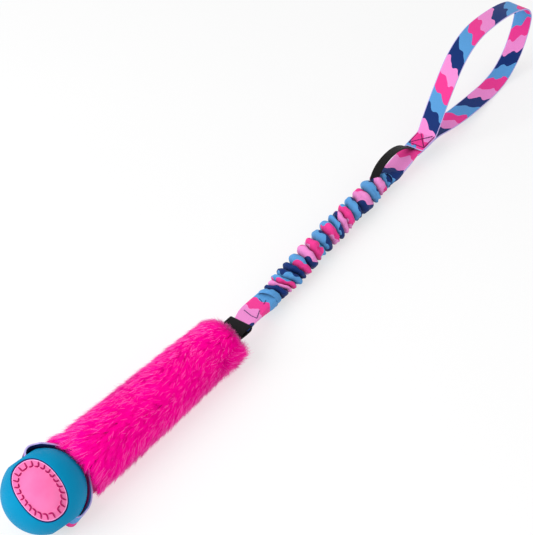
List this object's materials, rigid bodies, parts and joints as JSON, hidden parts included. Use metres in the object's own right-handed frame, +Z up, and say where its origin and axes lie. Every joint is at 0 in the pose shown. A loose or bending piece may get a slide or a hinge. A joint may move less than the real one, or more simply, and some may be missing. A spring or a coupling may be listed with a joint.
{
  "type": "bungee tug toy",
  "caption": "Dog tug toy: rubber ball on a printed webbing loop, faux fur tube, gathered bungee sleeve and flat webbing handle.",
  "frame": {"origin": "middle of the bounding box at floor level, with the toy lying at rest", "axes": "+X from the ball along the fur tube towards the handle, +Y to the left of that, +Z up"},
  "size_m": [0.7908, 0.0798, 0.1021],
  "materials": {
    "ball_body": "moulded satin rubber",
    "ball_panel_front": "moulded satin rubber",
    "ball_panel_back": "moulded satin rubber",
    "ball_strap": "printed woven webbing",
    "fur_sleeve": "long-pile faux fur",
    "core_strap": "woven webbing",
    "core_padding": "soft foam",
    "lower_tab": "printed woven webbing",
    "bungee_sleeve": "printed woven webbing, gathered",
    "bungee_cord": "elastic cord",
    "upper_tab": "printed woven webbing",
    "label": "woven tape",
    "handle_strap": "printed woven webbing"
  },
  "bodies": {
    "fur": {"fur_sleeve": "fur_sleeve", "core_strap": "core_strap", "core_padding": "core_padding"},
    "ball_strap": {"ball_strap": "ball_strap"},
    "ball": {"ball_body": "ball_body", "ball_panel_front": "ball_panel_front", "ball_panel_back": "ball_panel_back"},
    "bungee": {"lower_tab": "lower_tab", "bungee_sleeve": "bungee_sleeve", "bungee_cord": "bungee_cord"},
    "upper": {"upper_tab": "upper_tab", "label": "label"},
    "handle": {"handle_strap": "handle_strap"}
  },
  "joints": [
    {"name": "ball_swing", "type": "hinge", "parent": "fur", "child": "ball_strap", "pos_m": [-0.32448, -0.00607, 0.02593], "axis": [0.08, -0.5878, 0.8051], "range_deg": [-15, 15]},
    {"name": "ball_spin", "type": "hinge", "parent": "ball_strap", "child": "ball", "pos_m": [-0.36548, -0.00607, 0.03], "axis": [0.1153, 0.8077, 0.5782], "continuous": true},
    {"name": "band_bend", "type": "hinge", "parent": "fur", "child": "bungee", "pos_m": [-0.14668, -0.00607, 0.0225], "axis": [-0.0663, 0.9978, 0], "range_deg": [-60, 60]},
    {"name": "bungee_stretch", "type": "slide", "parent": "bungee", "child": "upper", "axis": [0.9978, 0.0663, 0], "range_m": [0, 0.12], "stiffness_N_per_m": 300, "deforming": ["bungee_sleeve", "bungee_cord"]},
    {"name": "handle_bend", "type": "hinge", "parent": "upper", "child": "handle", "pos_m": [0.16244, 0.01447, 0.0177], "axis": [-0.0663, 0.9978, 0], "range_deg": [-60, 60]}
  ]
}
